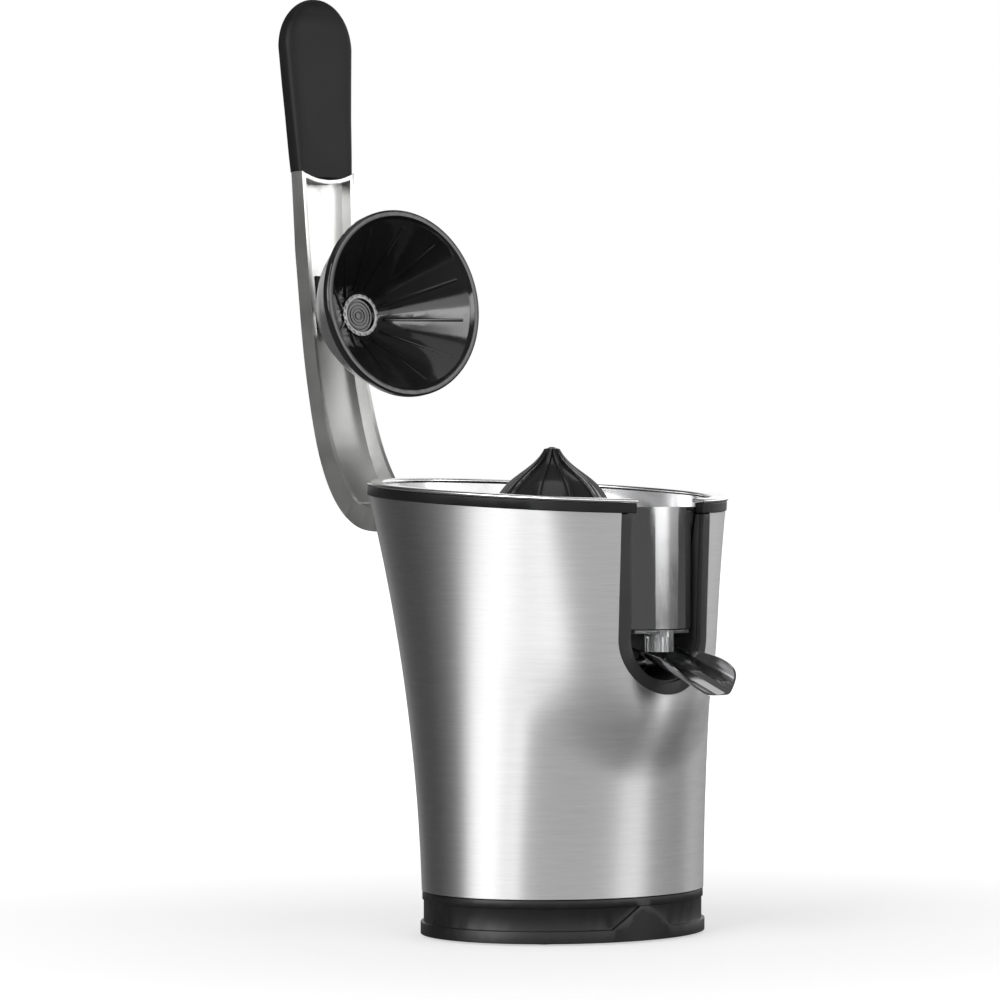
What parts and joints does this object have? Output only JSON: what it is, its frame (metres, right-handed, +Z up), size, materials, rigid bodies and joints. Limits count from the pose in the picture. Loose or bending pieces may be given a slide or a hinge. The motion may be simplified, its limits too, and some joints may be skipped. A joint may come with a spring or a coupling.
{
  "type": "citrus press juicer",
  "caption": "Electric citrus press with a hand lever: flared oval body, front recess with a tilting spout, ribbed reamer and a hinged pressing cup.",
  "frame": {"origin": "on the table, on the spin axis of the reamer cone", "axes": "+Z up, -Y towards the front (pouring spout), +Y towards the back (lever hinge), +X to the side along the hinge pin"},
  "size_m": [0.1714, 0.3464, 0.4971],
  "materials": {
    "brushed_steel_sheet": "horizontally brushed stainless steel",
    "polished_steel": "polished stainless steel",
    "satin_black": "satin black moulded plastic",
    "dark_frame": "satin dark grey plastic",
    "gloss_black": "glossy black plastic",
    "grip_black": "matte black grip",
    "rubber_black": "soft black rubber",
    "cast_aluminium": "satin cast aluminium",
    "satin_silver": "satin silver",
    "clear_plastic": "clear moulded plastic",
    "white_plastic": "white engineering plastic",
    "grey_plastic": "grey inner plastic",
    "zinc_steel": "zinc plated steel",
    "core_steel": "laminated core steel",
    "copper_wire": "varnished copper wire",
    "bronze": "sintered bronze"
  },
  "bodies": {
    "body": {"base_ring": "satin_black", "base_cover": "satin_black", "rubber_feet": "rubber_black", "base_screws": "zinc_steel", "cord_inlet": "rubber_black", "outer_shell": "brushed_steel_sheet", "inner_housing": "grey_plastic", "recess_frame": "dark_frame", "recess_lining": "satin_black", "top_collar": "satin_black", "rim_trim": "polished_steel", "juice_tank": "polished_steel", "tank_channel": "polished_steel", "outlet_nozzle": "clear_plastic", "outlet_seal": "rubber_black", "shaft_bush": "white_plastic", "shaft_seal": "rubber_black", "strainer": "gloss_black", "gearbox_tray": "grey_plastic", "gearbox_cover": "grey_plastic", "gearbox_screws": "zinc_steel", "hanger_screws": "zinc_steel", "gear_bushes": "bronze", "idler_axle": "zinc_steel", "stator_core": "core_steel", "motor_coils": "copper_wire", "motor_bracket_upper": "satin_silver", "motor_bracket_lower": "satin_silver", "motor_bearings": "bronze", "motor_bolts": "zinc_steel", "start_switch": "satin_black", "hinge_bracket": "cast_aluminium", "bracket_rivets": "zinc_steel", "hinge_pin": "zinc_steel"},
    "rotor": {"rotor_core": "core_steel", "rotor_shaft": "zinc_steel", "motor_pinion": "zinc_steel", "cooling_fan": "grey_plastic"},
    "idler": {"idler_gear": "white_plastic"},
    "output": {"output_gear": "white_plastic", "return_spring": "zinc_steel"},
    "spindle": {"drive_shaft": "zinc_steel", "spring_collar": "zinc_steel", "reamer_cone": "gloss_black"},
    "plunger": {"switch_plunger": "white_plastic"},
    "spout": {"spout_scoop": "polished_steel", "spout_axle": "zinc_steel"},
    "lever": {"lever_arm": "cast_aluminium", "hinge_bushes": "white_plastic", "hinge_caps": "cast_aluminium", "handle_grip": "grip_black", "cup_pivot_pin": "zinc_steel", "cup_bumper": "rubber_black"},
    "cup": {"cup_dome": "satin_silver", "cup_liner": "gloss_black", "cup_hub_screw": "gloss_black", "cup_lock_ring": "polished_steel"}
  },
  "joints": [
    {"name": "rotor_spin", "type": "hinge", "parent": "body", "child": "rotor", "pos_m": [0, -0.024, 0.06], "axis": [0, 0, 1], "continuous": true},
    {"name": "idler_spin", "type": "hinge", "parent": "body", "child": "idler", "pos_m": [0.02786, -0.02119, 0.11], "axis": [0, 0, 1], "continuous": true},
    {"name": "output_spin", "type": "hinge", "parent": "body", "child": "output", "pos_m": [0, 0, 0.12], "axis": [0, 0, 1], "continuous": true},
    {"name": "press_slide", "type": "slide", "parent": "output", "child": "spindle", "axis": [0, 0, -1], "range_m": [0, 0.0025], "stiffness_N_per_m": 2000, "springref_m": -0.002, "deforming": ["return_spring"]},
    {"name": "plunger_slide", "type": "slide", "parent": "body", "child": "plunger", "axis": [0, 0, -1], "range_m": [0, 0.0025]},
    {"name": "spout_tilt", "type": "hinge", "parent": "body", "child": "spout", "pos_m": [0, -0.078, 0.1403], "axis": [-1, 0, 0], "range_deg": [0, 12]},
    {"name": "lever_hinge", "type": "hinge", "parent": "body", "child": "lever", "pos_m": [0, 0.11405, 0.2134], "axis": [1, 0, 0], "range_deg": [0, 97.5]},
    {"name": "cup_pivot", "type": "hinge", "parent": "lever", "child": "cup", "pos_m": [0, 0.18945, 0.31845], "axis": [1, 0, 0], "range_deg": [-5, 7]}
  ],
  "couplings": [
    {"joint": "idler_spin", "follows": "rotor_spin", "ratio": -0.25},
    {"joint": "output_spin", "follows": "rotor_spin", "ratio": 0.0625},
    {"joint": "plunger_slide", "follows": "press_slide", "ratio": 1}
  ]
}
